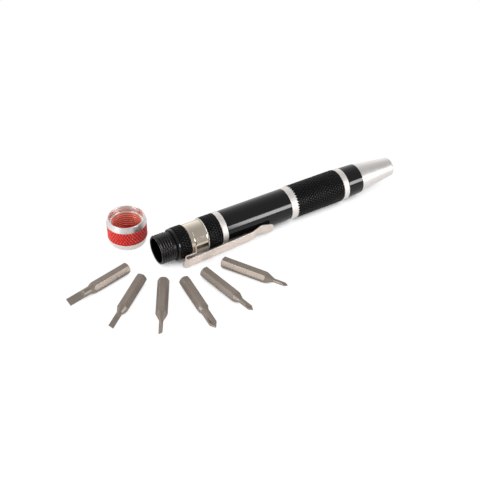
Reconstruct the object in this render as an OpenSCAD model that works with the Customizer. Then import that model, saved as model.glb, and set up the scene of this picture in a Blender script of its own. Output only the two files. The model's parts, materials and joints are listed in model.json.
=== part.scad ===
// Pen-shaped pocket screwdriver, laid down with its end cap off and its six bits fanned out beside it.
// Millimetres. +Z is up, +X runs along the handle to its nose, and the table is at z = 0.

/* [Bits] */
// Width of a bit's shank across its flats
bit_af = 4; // [3.6:0.1:4.4]
// Length of a bit
bit_len = 28; // [26:0.5:32]
// Height of the dome on a bit's butt
butt_dome = 0.8; // [0.3:0.1:1.2]
// Radius taken off the shank's six corners
corner_break = 0.08; // [0:0.02:0.2]
// Half angle of the cone between shank and shaft
shoulder_angle = 22; // [15:1:35]

/* [Slotted bits] */
// Blade width of the large slotted bit
slotted_large_w = 3; // [2.5:0.1:3.4]
// Length of its round shaft with the blade
slotted_large_shaft = 9.6; // [7:0.2:12]
// Blade width of the medium slotted bit
slotted_medium_w = 2.1; // [1.6:0.1:2.6]
// Length of its round shaft with the blade
slotted_medium_shaft = 7.4; // [6:0.2:10]
// Blade width of the small slotted bit
slotted_small_w = 1.5; // [1:0.1:2]
// Length of its round shaft with the blade
slotted_small_shaft = 6.2; // [5:0.2:8]
// Blade thickness at the tip, as a share of the blade's width
blade_share = 0.2; // [0.14:0.01:0.28]
// Length of the ground flats on a blade
blade_flat = 3.8; // [2:0.2:4.6]
// Taper of each ground flat, in degrees
blade_taper = 3; // [0:0.5:5]
// Radius of the wheel that grinds the flats
blade_wheel_r = 5; // [3:0.5:9]

/* [Cross bits] */
// Shaft diameter of the large cross bit
cross_large_d = 3; // [2.5:0.1:3.4]
// Length of its shaft with the point
cross_large_shaft = 9.2; // [7:0.2:12]
// Shaft diameter of the medium cross bit
cross_medium_d = 2; // [1.6:0.1:2.4]
// Length of its shaft with the point
cross_medium_shaft = 6.4; // [5:0.2:9]
// Shaft diameter of the small cross bit
cross_small_d = 1.5; // [1.1:0.1:1.8]
// Length of its shaft with the point
cross_small_shaft = 5.6; // [4:0.2:8]
// Half angle of the point
point_angle = 28; // [22:1:35]
// Half width of a wing at the point, as a share of the shaft's diameter
wing_share = 0.1; // [0.06:0.01:0.14]
// Length of the four flutes, in shaft diameters
flute_share = 1.7; // [1.2:0.1:2.2]

/* [Core tube] */
// Room round three bits that lie side by side in the store
store_clear = 0.56; // [0.2:0.02:1.2]
// Spare depth behind two layers of bits
store_spare = 1; // [0.5:0.5:4]
// Wall of the core tube
core_wall = 0.65; // [0.4:0.05:1]
// Chamfer inside the mouth
mouth_chamfer = 0.3; // [0.1:0.05:0.5]
// Length of the threaded neck
neck_len = 6.65; // [4:0.05:8]
// How far the thread stands proud of the core tube
neck_proud = 0.25; // [0.1:0.05:0.4]
// Radial room between the core tube and the sleeves on it
sleeve_clear = 0.03; // [0.01:0.01:0.08]

/* [Sleeves and rings] */
// Length of the plain shoulder on the rear collar
shoulder_len = 1.1; // [0.8:0.1:2.5]
// Wall of that shoulder
shoulder_wall = 0.72; // [0.5:0.01:1.2]
// Length of the knurl on the rear collar
rear_knurl_len = 4.55; // [3.6:0.05:8]
// Wall of the rear collar at its knurl
rear_knurl_wall = 0.87; // [0.6:0.01:1.4]
// Length of the clip collar
clip_collar_len = 6.2; // [4:0.05:9]
// Wall of the clip collar
clip_collar_wall = 1.02; // [0.7:0.01:1.5]
// Length of the rear ring
rear_ring_len = 2.35; // [1.5:0.05:4]
// Wall of the rear ring
rear_ring_wall = 1.07; // [0.7:0.01:1.5]
// Length of the smooth barrel
barrel_len = 29.1; // [27:0.1:40]
// Wall of the smooth barrel
barrel_wall = 0.87; // [0.7:0.01:1.3]
// Length of the middle ring
middle_ring_len = 2.7; // [1.5:0.1:4]
// Length of the knurled grip
grip_len = 22.4; // [16:0.1:30]
// Wall of the knurled grip
grip_wall = 1.15; // [1:0.01:2]
// How far the middle ring stays below the grip and above the barrel
ring_step = 0.05; // [0:0.01:0.1]
// Length of the front ring
front_ring_len = 2.45; // [1.5:0.05:4]
// Wall of the front ring
front_ring_wall = 0.97; // [0.7:0.01:1.5]
// Length of the front collar
front_collar_len = 7; // [5:0.1:10]
// Wall of the front collar at its rear end
front_collar_wall = 0.82; // [0.7:0.01:1.3]
// Fall in radius along the front collar
front_collar_fall = 0.25; // [0:0.01:0.4]
// Chamfer on the edges of the knurled pieces
knurl_chamfer = 0.35; // [0.1:0.05:0.5]
// Chamfer on the edges of the smooth pieces
edge_chamfer = 0.15; // [0.05:0.05:0.25]

/* [Nose] */
// Length of the nose in front of the front collar
nose_len = 17.1; // [12:0.1:22]
// Step from the front collar down to the nose
nose_step = 0.15; // [0:0.05:0.3]
// Diameter of the nose at its tip
nose_tip_d = 7.55; // [7:0.05:8.6]
// Radius of the rounded tip
nose_round = 0.5; // [0.3:0.1:1]
// Wall of the core tube round the nose's shank
shank_wall = 1.2; // [0.8:0.1:1.8]
// Length of the shank inside the core tube
shank_len = 14; // [8:0.5:18]
// How far the core tube stops short of the nose
core_setback = 2; // [1:0.5:4]
// Room round a bit in the hexagon socket, across the flats
socket_clear = 0.1; // [0.04:0.02:0.2]
// Depth of the hexagon socket
socket_depth = 11; // [8:0.5:14]
// Depth of the lead-in cone at the socket's mouth
socket_lead = 0.5; // [0.2:0.1:0.8]
// Diameter of the magnet
magnet_d = 4; // [3:0.1:4.4]
// Thickness of the magnet
magnet_h = 3; // [2:0.5:5]
// Radial room round the magnet in its pocket
magnet_clear = 0.05; // [0.02:0.01:0.1]

/* [Pocket clip] */
// Thickness of the spring strip
clip_t = 0.45; // [0.35:0.05:0.6]
// Width of the band round the handle
band_w = 6.95; // [5:0.05:9]
// Radial room between the band and the core tube
band_clear = 0.06; // [0.02:0.01:0.1]
// Room at each end of the band
band_end_clear = 0.1; // [0.05:0.05:0.3]
// Gap of the split in the band
band_split = 0.9; // [0.5:0.1:2]
// Width of the leaf and the arm
arm_w = 6.3; // [4.5:0.1:7]
// Relief slit on each side of the leaf, where it leaves the band
leaf_slit = 0.4; // [0.3:0.1:0.8]
// Room between the leaf and the knurl that it passes over
leaf_clear = 1.2; // [0.6:0.05:1.6]
// Steepness of the step from band to leaf
leaf_rise = 60; // [45:5:75]
// Bend radius of that step
leaf_bend = 0.6; // [0.5:0.05:0.9]
// Length of the leaf from the end of its step to the fold
leaf_len = 3.6; // [2:0.1:4.2]
// Bend radius of the fold
fold_r = 0.83; // [0.6:0.01:1.2]
// Slope of the arm towards the barrel, in degrees
arm_slope = 2.9; // [1:0.1:4]
// Length of the straight arm
arm_len = 28.2; // [24:0.2:31]
// Further slope of the arm where it dips to the barrel
arm_dip = 13.5; // [8:0.5:18]
// Bend radius where the arm dips
dip_bend = 4; // [3:0.5:8]
// Bend radius where the arm meets the barrel
touch_bend = 3; // [2:0.5:5]
// Room between arm and barrel at that bend
touch_clear = 0.15; // [0.1:0.05:0.3]
// Slope of the flared tip
flare_slope = 15; // [8:1:22]
// Length of the flared tip
flare_len = 4.6; // [2:0.2:5]
// Corner radius of the tip
tip_corner = 1.8; // [1:0.1:2.2]
// Room between the lying clip and the table
table_clear = 0.05; // [0.02:0.01:0.2]

/* [End cap] */
// Thickness of the closed end
cap_floor = 2; // [1.2:0.1:3]
// Spare depth of the thread past the neck
cap_thread_spare = 0.45; // [0.3:0.05:2]
// Radial room between cap thread and neck
cap_thread_clear = 0.1; // [0.05:0.01:0.2]
// Depth of the skirt past the shoulder, over the rear knurl
cap_skirt_spare = 0.9; // [0.6:0.1:1.6]
// Radial room between skirt and rear knurl
cap_skirt_clear = 0.13; // [0.08:0.01:0.5]
// Wall of the skirt at its lip
cap_lip = 0.35; // [0.25:0.05:1]
// Rounding of the lip
cap_lip_round = 0.15; // [0.05:0.05:0.25]
// Height of the bright rim round the skirt
cap_rim_h = 2.7; // [1.5:0.1:3.2]
// How far the rim draws in to the lip
cap_rim_in = 0.97; // [0:0.01:1.4]
// Height of the bright foot at the closed end
cap_foot_h = 2.8; // [2:0.1:3.5]
// How far the foot draws in to the table
cap_foot_in = 0.9; // [0:0.1:2]
// Rounding of the foot at the table
cap_foot_round = 0.4; // [0.1:0.1:1]
// Depth of the knurled band below the bright rims
cap_knurl_in = 0.1; // [0:0.02:0.2]
// Distance of the cap behind the mouth
cap_back = 3.2; // [0:0.05:12]
// Distance of the cap from the handle's axis
cap_aside = 19.25; // [16:0.05:30]

/* [Hidden] */
$fn = 72;

// Margin by which a cutting shape passes the face that it cuts
cut = 0.5;

// Where each bit lies: its butt measured from the mouth, the way it points, and its turn about its own axis
slotted_large_place = [-11.1, 1.8, -166];
slotted_medium_place = [-9, -5.75, -139];
slotted_small_place = [-2.8, -11.25, -119];
cross_large_place = [3.8, -14.9, -94];
cross_medium_place = [12.4, -14.3, -79];
cross_small_place = [21.1, -13.1, -59];
flat_turn = 60;

// The hexagon: its corner radius, and the bore that three of them share when they meet at one corner
function corner_r(af) = af / sqrt(3);
bit_corner_r = corner_r(bit_af) - corner_break;
store_r = 2 * corner_r(bit_af) + store_clear / 2;
store_depth = 2 * bit_len + store_spare;

// Radii of the core tube and of what slides on it
core_r = store_r + core_wall;
neck_r = core_r + neck_proud;
sleeve_r = core_r + sleeve_clear;
shoulder_r = sleeve_r + shoulder_wall;
rear_knurl_r = sleeve_r + rear_knurl_wall;
clip_collar_r = sleeve_r + clip_collar_wall;
rear_ring_r = sleeve_r + rear_ring_wall;
barrel_r = sleeve_r + barrel_wall;
grip_r = sleeve_r + grip_wall;
front_ring_r = sleeve_r + front_ring_wall;
front_collar_r = sleeve_r + front_collar_wall;
nose_base_r = front_collar_r - front_collar_fall - nose_step;
nose_tip_r = nose_tip_d / 2;
shank_r = core_r - shank_wall;
socket_af = bit_af + socket_clear;

// Stations along the handle, from the mouth
s_shoulder = neck_len;
s_rear_knurl = s_shoulder + shoulder_len;
s_clip = s_rear_knurl + rear_knurl_len;
s_clip_collar = s_clip + band_w + 2 * band_end_clear;
s_rear_ring = s_clip_collar + clip_collar_len;
s_barrel = s_rear_ring + rear_ring_len;
s_middle_ring = s_barrel + barrel_len;
s_grip = s_middle_ring + middle_ring_len;
s_front_ring = s_grip + grip_len;
s_front_collar = s_front_ring + front_ring_len;
s_nose = s_front_collar + front_collar_len;
s_tip = s_nose + nose_len;
s_core_end = s_nose - core_setback;
s_shank = s_nose - shank_len;
s_socket = s_tip - socket_depth;
s_magnet = s_socket - magnet_h;

// The lying handle touches the table with its widest piece
axis_z = max(grip_r, rear_ring_r, clip_collar_r, front_ring_r);

// The clip's strip, by the radius of its middle: band, leaf, fold, arm and the bend that meets the barrel
band_r = core_r + band_clear + clip_t / 2;
band_rear = s_clip + band_end_clear;
band_front = band_rear + band_w;
leaf_r = rear_knurl_r + leaf_clear + clip_t / 2;
step_straight = (leaf_r - band_r - 2 * leaf_bend * (1 - cos(leaf_rise))) / sin(leaf_rise);
step_run = 2 * leaf_bend * sin(leaf_rise) + step_straight * cos(leaf_rise);
s_step = band_rear + step_run;
s_fold = band_rear - leaf_len;
dip_slope = arm_slope + arm_dip;
arm_start_r = leaf_r + fold_r * (1 + cos(arm_slope));
dip_start_r = arm_start_r - arm_len * sin(arm_slope);
dip_end_r = dip_start_r - dip_bend * (cos(arm_slope) - cos(dip_slope));
touch_r = barrel_r + touch_clear + clip_t / 2;
dip_len = (dip_end_r - touch_r - touch_bend * (1 - cos(dip_slope))) / sin(dip_slope);
s_dip = s_fold + fold_r * sin(arm_slope) + arm_len * cos(arm_slope)
    + dip_bend * (sin(dip_slope) - sin(arm_slope)) + dip_len * cos(dip_slope);
s_clip_tip = s_dip + touch_bend * (sin(dip_slope) + sin(flare_slope)) + flare_len * cos(flare_slope);
fold_outer_r = leaf_r + 2 * fold_r + clip_t / 2;
clip_outer_r = fold_outer_r + cut;
seat_half = atan(arm_w / 2 / band_r);

// The clip is turned down until the edge of its fold rests on the table
fold_edge_r = sqrt(fold_outer_r * fold_outer_r + arm_w * arm_w / 4);
clip_drop = asin((axis_z - table_clear) / fold_edge_r) - atan(arm_w / 2 / fold_outer_r);

// The cap's bores come from the neck and the rear collar that it closes over
cap_thread_r = neck_r + cap_thread_clear;
cap_skirt_r = rear_knurl_r + cap_skirt_clear;
cap_r = cap_skirt_r + cap_lip + cap_rim_in;
cap_thread_h = neck_len + cap_thread_spare;
cap_skirt_h = shoulder_len + cap_skirt_spare;
cap_h = cap_floor + cap_thread_h + cap_skirt_h;

// The frame's origin lies on the table, in the middle of everything that is laid out
function tip_of(place) = [place.x + bit_len * cos(place[2]), place.y + bit_len * sin(place[2])];
blade_half = slotted_large_w / 2 * sin(flat_turn) * abs(sin(slotted_large_place[2]));
mid_x = (tip_of(slotted_large_place).x - blade_half + s_tip) / 2;
mid_y = (tip_of(cross_large_place).y + cap_aside + cap_r) / 2;

// Points of a quarter round from the angle a to the angle b
function arc(centre, r, a, b, steps = 6) =
    [for (k = [0:steps]) centre + r * [cos(a + (b - a) * k / steps), sin(a + (b - a) * k / steps)]];

// Puts a piece that is drawn along +Z from the mouth onto the lying handle's axis
module on_axis() {
    translate([-mid_x, -mid_y, axis_z])
        rotate([0, 90, 0])
            children();
}

// Puts a bit that is drawn along +Z from its butt on the table, on one of its flats
module laid(place, turn) {
    translate([place.x - mid_x, place.y - mid_y, bit_af / 2])
        rotate([0, 90, place[2]])
            rotate([0, 0, turn])
                children();
}

// A turned piece from its outline of radius and station
module turned(outline) {
    rotate_extrude()
        polygon(outline);
}

// A sleeve on the core tube, with its own chamfer at each end
module sleeve(from, to, rear_r, front_r, rear_chamfer, front_chamfer) {
    on_axis()
        turned([[sleeve_r, from], [rear_r - rear_chamfer, from], [rear_r, from + rear_chamfer],
                [front_r, to - front_chamfer], [front_r - front_chamfer, to], [sleeve_r, to]]);
}

module core_tube() {
    color("#1b1b1c")
        on_axis()
            difference() {
                turned([[0, 0], [neck_r - neck_proud, 0], [neck_r, neck_proud], [neck_r, s_shoulder],
                        [core_r, s_shoulder], [core_r, s_core_end], [0, s_core_end]]);
                turned([[0, -cut], [store_r + mouth_chamfer + cut, -cut], [store_r, mouth_chamfer],
                        [store_r, store_depth], [0, store_depth]]);
                translate([0, 0, s_shank])
                    cylinder(r = shank_r + sleeve_clear, h = shank_len);
            }
}

module rear_collar() {
    color("#161616")
        on_axis()
            turned([[sleeve_r, s_shoulder], [shoulder_r - edge_chamfer, s_shoulder],
                    [shoulder_r, s_shoulder + edge_chamfer], [shoulder_r, s_rear_knurl],
                    [rear_knurl_r, s_rear_knurl + rear_knurl_r - shoulder_r], [rear_knurl_r, s_clip - knurl_chamfer],
                    [rear_knurl_r - knurl_chamfer, s_clip], [sleeve_r, s_clip]]);
}

module clip_collar() {
    color("#161616")
        sleeve(s_clip_collar, s_rear_ring, clip_collar_r, clip_collar_r, knurl_chamfer, edge_chamfer);
}

module rear_ring() {
    color("#d9d5d2")
        sleeve(s_rear_ring, s_barrel, rear_ring_r, rear_ring_r, edge_chamfer, edge_chamfer);
}

module barrel_sleeve() {
    color("#0c0c0d")
        sleeve(s_barrel, s_middle_ring, barrel_r, barrel_r, edge_chamfer, edge_chamfer);
}

module middle_ring() {
    color("#d9d5d2")
        sleeve(s_middle_ring, s_grip, barrel_r + ring_step, grip_r - ring_step, edge_chamfer, edge_chamfer);
}

module grip_sleeve() {
    color("#161616")
        sleeve(s_grip, s_front_ring, grip_r, grip_r, edge_chamfer, knurl_chamfer);
}

module front_ring() {
    color("#d9d5d2")
        sleeve(s_front_ring, s_front_collar, front_ring_r, front_ring_r, edge_chamfer, edge_chamfer);
}

module front_collar() {
    color("#0c0c0d")
        sleeve(s_front_collar, s_nose, front_collar_r, front_collar_r - front_collar_fall, edge_chamfer, knurl_chamfer);
}

module nose_cone() {
    taper = atan((nose_base_r - nose_tip_r) / nose_len);
    color("#dcd9d6")
        on_axis()
            difference() {
                turned(concat([[0, s_shank], [shank_r - edge_chamfer, s_shank], [shank_r, s_shank + edge_chamfer],
                               [shank_r, s_nose], [nose_base_r, s_nose]],
                              arc([nose_tip_r - nose_round, s_tip - nose_round], nose_round, taper, 90),
                              [[0, s_tip]]));
                translate([0, 0, s_socket])
                    cylinder(r = corner_r(socket_af), h = socket_depth + cut, $fn = 6);
                translate([0, 0, s_tip - socket_lead])
                    cylinder(r1 = socket_af / 2, r2 = corner_r(socket_af) + socket_lead + cut, h = socket_lead + cut);
                translate([0, 0, s_magnet])
                    cylinder(d = magnet_d + 2 * magnet_clear, h = magnet_h + cut);
            }
}

module bit_magnet() {
    color("#9a9a9c")
        on_axis()
            turned([[0, s_magnet], [magnet_d / 2 - edge_chamfer, s_magnet], [magnet_d / 2, s_magnet + edge_chamfer],
                    [magnet_d / 2, s_socket - edge_chamfer], [magnet_d / 2 - edge_chamfer, s_socket], [0, s_socket]]);
}

// One bend of the strip in side view: the part of a ring from the line y = 0 to that line turned by the bend
module bend(r, turn) {
    reach = r + clip_t;
    intersection() {
        difference() {
            circle(r + clip_t / 2);
            circle(r - clip_t / 2);
        }
        translate([-reach, 0])
            square([2 * reach, reach]);
        rotate(turn)
            translate([-reach, -reach])
                square([2 * reach, reach]);
    }
}

// The strip in side view: each step is a straight length, then a bend by its radius and its turn to the left
module strip(steps, k = 0) {
    straight = steps[k][0];
    r = steps[k][1];
    turn = steps[k][2];
    side = turn < 0 ? -1 : 1;
    if (straight > 0)
        translate([-clip_t / 2, 0])
            square([clip_t, straight]);
    if (turn != 0)
        translate([-side * r, straight]) {
            bend(r, turn);
            rotate(turn)
                translate([side * r, 0])
                    strip(steps, k + 1);
        }
}

// The arm's outline seen from outside, with round corners at its tip
module arm_outline() {
    square_end = s_clip_tip - tip_corner;
    translate([-arm_w / 2, s_fold - fold_r - clip_t])
        square([arm_w, square_end - s_fold + fold_r + clip_t]);
    translate([-arm_w / 2 + tip_corner, square_end])
        square([arm_w - 2 * tip_corner, tip_corner]);
    for (side = [-1, 1])
        translate([side * (arm_w / 2 - tip_corner), square_end])
            circle(tip_corner);
}

// The band in end view: a circle, with a flat seat under the arm on the +X side
module band_section(r) {
    circle(r);
    polygon([[0, 0], r * [cos(2 * seat_half), -sin(2 * seat_half)], r * [1, -tan(seat_half)],
             r * [1, tan(seat_half)], r * [cos(2 * seat_half), sin(2 * seat_half)]]);
}

// The split band, with a notch where the leaf steps out of it
module clip_band() {
    difference() {
        translate([0, 0, band_rear])
            linear_extrude(band_w)
                difference() {
                    band_section(band_r + clip_t / 2);
                    band_section(band_r - clip_t / 2);
                }
        translate([-clip_outer_r, -band_split / 2, band_rear - cut])
            cube([clip_outer_r, band_split, band_w + 2 * cut]);
        translate([0, -arm_w / 2 - leaf_slit, band_rear - cut])
            cube([clip_outer_r, arm_w + 2 * leaf_slit, step_run + cut]);
    }
}

// Seat, step, leaf, fold, arm and flared tip, bent from one flat strip on the +X side of the axis
module clip_arm() {
    intersection() {
        translate([0, arm_w / 2, 0])
            rotate([90, 0, 0])
                linear_extrude(arm_w)
                    translate([band_r, band_front])
                        rotate(180)
                            strip([[band_front - s_step, leaf_bend, leaf_rise], [step_straight, leaf_bend, -leaf_rise],
                                   [leaf_len, fold_r, 90], [0, fold_r, 90 + arm_slope], [arm_len, dip_bend, arm_dip],
                                   [dip_len, touch_bend, -dip_slope - flare_slope], [flare_len, 0, 0]]);
        rotate([90, 0, 90])
            linear_extrude(clip_outer_r)
                arm_outline();
    }
}

module pocket_clip() {
    color("#cfc6c1")
        on_axis()
            rotate([0, 0, -90 + clip_drop]) {
                clip_band();
                clip_arm();
            }
}

module end_cap() {
    knurl_r = cap_r - cap_knurl_in;
    s_rim = cap_h - cap_rim_h;
    s_seat = cap_h - cap_skirt_h;
    rim_lean = atan(cap_rim_in / cap_rim_h);
    foot_lean = atan(cap_foot_in / cap_foot_h);
    lip_x = cap_r - cap_rim_in - cap_lip_round * tan(45 - rim_lean / 2);
    foot_x = cap_r - cap_foot_in - cap_foot_round * tan(45 - foot_lean / 2);
    color("#c4302f")
        translate([-cap_back - mid_x, cap_aside - mid_y, 0])
            turned(concat([[0, 0]], arc([foot_x, cap_foot_round], cap_foot_round, -90, -foot_lean),
                          [[cap_r, cap_foot_h], [knurl_r, cap_foot_h], [knurl_r, s_rim], [cap_r, s_rim]],
                          arc([lip_x, cap_h - cap_lip_round], cap_lip_round, rim_lean, 90),
                          [[cap_skirt_r, cap_h], [cap_skirt_r, s_seat], [cap_thread_r, s_seat],
                           [cap_thread_r, cap_floor], [0, cap_floor]]));
}

// Shank, cone and shaft of a bit: a hexagon bar turned down by a round outline
module bit_blank(shaft_r, shaft_len, tip_r, tip_len) {
    cone_len = (bit_corner_r - shaft_r) / tan(shoulder_angle);
    s_shaft = bit_len - shaft_len;
    dome_r = (bit_corner_r * bit_corner_r + butt_dome * butt_dome) / (2 * butt_dome);
    dome_half = asin(bit_corner_r / dome_r);
    intersection() {
        rotate([0, 0, 30])
            cylinder(r = corner_r(bit_af), h = bit_len, $fn = 6);
        turned(concat(arc([0, dome_r], dome_r, -90, -90 + dome_half),
                      [[bit_corner_r, s_shaft - cone_len], [shaft_r, s_shaft], [shaft_r, bit_len - tip_len],
                       [tip_r, bit_len], [0, bit_len]]));
    }
}

// A slotted bit: two opposite flats are ground off the end of its shaft
module slotted_bit(blade_w, shaft_len, place, turn) {
    shaft_r = blade_w / 2;
    tip_half = blade_share * blade_w / 2;
    flat_half = tip_half + blade_flat * tan(blade_taper);
    laid(place, turn)
        difference() {
            bit_blank(shaft_r, shaft_len, shaft_r, 0);
            for (side = [0, 180])
                rotate([0, 0, side])
                    translate([blade_w, 0, bit_len])
                        rotate([90, 0, -90])
                            linear_extrude(2 * blade_w) {
                                polygon([[-tip_half, cut], [-tip_half, 0], [-flat_half, -blade_flat],
                                         [-blade_wheel_r, -blade_flat], [-blade_wheel_r, cut]]);
                                translate([-flat_half - blade_wheel_r, -blade_flat])
                                    circle(blade_wheel_r);
                            }
        }
}

// A half space beyond a plane that leans out from the point to the end of the flutes
module flute_side(wing, lean, reach) {
    translate([wing, 0, bit_len])
        rotate([0, lean, 0])
            translate([0, -reach, -2 * reach])
                cube([reach, 2 * reach, 3 * reach]);
}

// A cross bit: four flutes leave four wings on its pointed end
module cross_bit(shaft_d, shaft_len, place, turn) {
    shaft_r = shaft_d / 2;
    wing = wing_share * shaft_d;
    point_r = wing;
    point_len = (shaft_r - point_r) / tan(point_angle);
    lean = atan((shaft_r / sqrt(2) - wing) / (flute_share * shaft_d));
    reach = (2 + flute_share) * shaft_d;
    laid(place, turn)
        difference() {
            bit_blank(shaft_r, shaft_len, point_r, point_len);
            for (quarter = [0:90:270])
                rotate([0, 0, quarter])
                    intersection() {
                        flute_side(wing, -lean, reach);
                        rotate([0, 0, 90])
                            flute_side(wing, -lean, reach);
                    }
        }
}

module slotted_bit_large() {
    color("#938980")
        slotted_bit(slotted_large_w, slotted_large_shaft, slotted_large_place, flat_turn);
}

module slotted_bit_medium() {
    color("#8a8078")
        slotted_bit(slotted_medium_w, slotted_medium_shaft, slotted_medium_place, flat_turn);
}

module slotted_bit_small() {
    color("#857a70")
        slotted_bit(slotted_small_w, slotted_small_shaft, slotted_small_place, -flat_turn);
}

module cross_bit_large() {
    color("#8a8078")
        cross_bit(cross_large_d, cross_large_shaft, cross_large_place, 0);
}

module cross_bit_medium() {
    color("#8f857b")
        cross_bit(cross_medium_d, cross_medium_shaft, cross_medium_place, 0);
}

module cross_bit_small() {
    color("#9a9088")
        cross_bit(cross_small_d, cross_small_shaft, cross_small_place, 0);
}

core_tube();
rear_collar();
clip_collar();
rear_ring();
barrel_sleeve();
middle_ring();
grip_sleeve();
front_ring();
front_collar();
nose_cone();
bit_magnet();
pocket_clip();
end_cap();
slotted_bit_large();
slotted_bit_medium();
slotted_bit_small();
cross_bit_large();
cross_bit_medium();
cross_bit_small();
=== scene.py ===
"""Pocket screwdriver with its cap off and its bits fanned out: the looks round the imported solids."""

import json
import math

import bmesh
import bpy
import numpy as np
from bpy.props import FloatProperty, FloatVectorProperty, IntProperty, PointerProperty
from mathutils import Euler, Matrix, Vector


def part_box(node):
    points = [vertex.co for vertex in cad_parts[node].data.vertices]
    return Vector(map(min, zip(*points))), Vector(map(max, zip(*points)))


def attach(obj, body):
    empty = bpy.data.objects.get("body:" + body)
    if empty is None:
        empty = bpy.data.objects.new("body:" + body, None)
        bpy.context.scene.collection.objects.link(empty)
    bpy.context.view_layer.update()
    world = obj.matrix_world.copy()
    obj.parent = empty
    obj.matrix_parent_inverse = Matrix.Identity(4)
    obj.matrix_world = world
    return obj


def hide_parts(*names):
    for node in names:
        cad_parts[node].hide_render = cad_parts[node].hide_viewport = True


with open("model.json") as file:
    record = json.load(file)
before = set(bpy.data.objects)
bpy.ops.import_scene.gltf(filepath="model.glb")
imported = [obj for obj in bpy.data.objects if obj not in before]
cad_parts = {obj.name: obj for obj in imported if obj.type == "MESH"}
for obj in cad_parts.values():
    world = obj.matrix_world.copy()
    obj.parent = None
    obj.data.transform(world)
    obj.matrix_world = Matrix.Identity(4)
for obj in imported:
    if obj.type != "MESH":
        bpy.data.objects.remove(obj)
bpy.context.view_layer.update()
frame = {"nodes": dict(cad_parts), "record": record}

bl_info = {
    "name": "Pocket Screwdriver",
    "version": (1, 0, 0),
    "blender": (4, 5, 0),
    "location": "3D View > Sidebar > Driver",
    "description": "Turned, knurled and threaded looks for a pen-shaped screwdriver with its cap and bits",
    "category": "Object",
}

MM = 0.001
GRIP_LOW, GRIP_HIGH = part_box("grip_sleeve")
AXIS_Y = (GRIP_LOW[1] + GRIP_HIGH[1]) / 2
AXIS_Z = (GRIP_LOW[2] + GRIP_HIGH[2]) / 2
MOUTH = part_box("core_tube")[0][0]
STORE = next(m for m in frame["record"]["mounts"] if m["name"] == "bit_storage")
BITS = ("slotted_bit_large", "slotted_bit_medium", "slotted_bit_small",
        "cross_bit_large", "cross_bit_medium", "cross_bit_small")
# Columns round a turned piece, and rows for each turn of a thread
AROUND, THREAD_ROWS = 192, 14
# The least easing, step and clearance, and the distance below which two points are one
HAIR, WELD = 0.05 * MM, 0.0001 * MM
# Edges of knurls and of the inner thread sharper than this many degrees stay hard
CUT_SHARP = 30.0


def span(node):
    """Rear station, front station and largest radius of a node that lies on the handle's axis."""
    low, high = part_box(node)
    return low[0], high[0], (high[2] - low[2]) / 2


# Settings

def length(name, description, mm, least=0, most=1000):
    """A length, with its default and limits in millimetres."""
    return FloatProperty(name=name, description=description, default=mm * MM, min=least * MM, max=most * MM,
                         precision=5, unit="LENGTH")


def degrees(name, description, turn):
    """An angle, with its default in degrees."""
    return FloatProperty(name=name, description=description, default=math.radians(turn), subtype="ANGLE")


def linear(code):
    """Linear RGB of an sRGB hex value: c / 12.92 for dark values, ((c + 0.055) / 1.055)^2.4 for the rest."""
    c = np.array([int(code[i:i + 2], 16) / 255 for i in (1, 3, 5)])
    return np.where(c <= 0.04045, c / 12.92, ((c + 0.055) / 1.055) ** 2.4).tolist()


def swatch(name, description, code):
    """A colour, with its default as an sRGB hex value."""
    return FloatVectorProperty(name=name, description=description, default=linear(code), min=0.0, max=1.0,
                               subtype="COLOR")


class KnurlSettings(bpy.types.PropertyGroup):
    """Crossed grooves that roll a diamond pattern into the sleeves and the cap."""
    round_pitch: length("Pitch Round", "Width of a diamond round the piece", 1.21, 0.4, 3)
    along_pitch: length("Pitch Along", "Length of a diamond along the piece", 2.03, 0.6, 5)
    depth: length("Depth", "Depth of the grooves below the crests", 0.38, 0.05, 0.6)
    crest: FloatProperty(name="Crest", description="Share of the pitch that is left flat on a crest",
                         default=0.2, min=0.0, max=0.4, subtype="FACTOR")
    samples: IntProperty(name="Samples", description="Mesh columns for each diamond", default=10, min=4,
                         max=16)


class ThreadSettings(bpy.types.PropertyGroup):
    """The screw thread on the neck and in the cap."""
    pitch: length("Pitch", "Advance of the thread in one turn", 1.0, 0.4, 2)
    height: length("Height", "Height of the ridges above the root", 0.36, 0.05, 0.5)
    relief: length("Relief", "Plain length between the thread and the shoulder", 0.9, 0, 2)


class BodySettings(bpy.types.PropertyGroup):
    """Sizes of the turned pieces that their boxes don't give."""
    sleeve_bore: length("Sleeve Bore", "Radius of the bore of the sleeves", 5.579)
    core_radius: length("Core Radius", "Radius of the core tube", 5.549)
    edge: length("Edge", "Easing of the edges of smooth pieces", 0.18)
    knurl_edge: length("Knurl Edge", "Chamfer at the ends of knurled pieces", 0.35)
    shoulder_length: length("Shoulder Length", "Plain length of the rear collar", 1.1)
    shoulder_drop: length("Shoulder Drop", "Step from the knurl down to that shoulder", 0.15)
    collar_fall: length("Collar Fall", "Fall in radius along the front collar", 0.25)
    tip_radius: length("Tip Radius", "Radius of the nose at its tip", 3.775)
    shank_radius: length("Shank Radius", "Radius of the nose's shank", 4.349)
    bright_edge: length("Bright Edge", "Bright-cut chamfer on the clip collar", 0.2)
    crown: length("Crown", "Rise of the plain shoulder in its middle", 0.06)
    tooth: length("Tooth", "Reach of the middle ring into the grip's grooves", 0.55)
    socket_flats: length("Socket Flats", "Width of the hexagon socket across its flats", 4.1)


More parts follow.
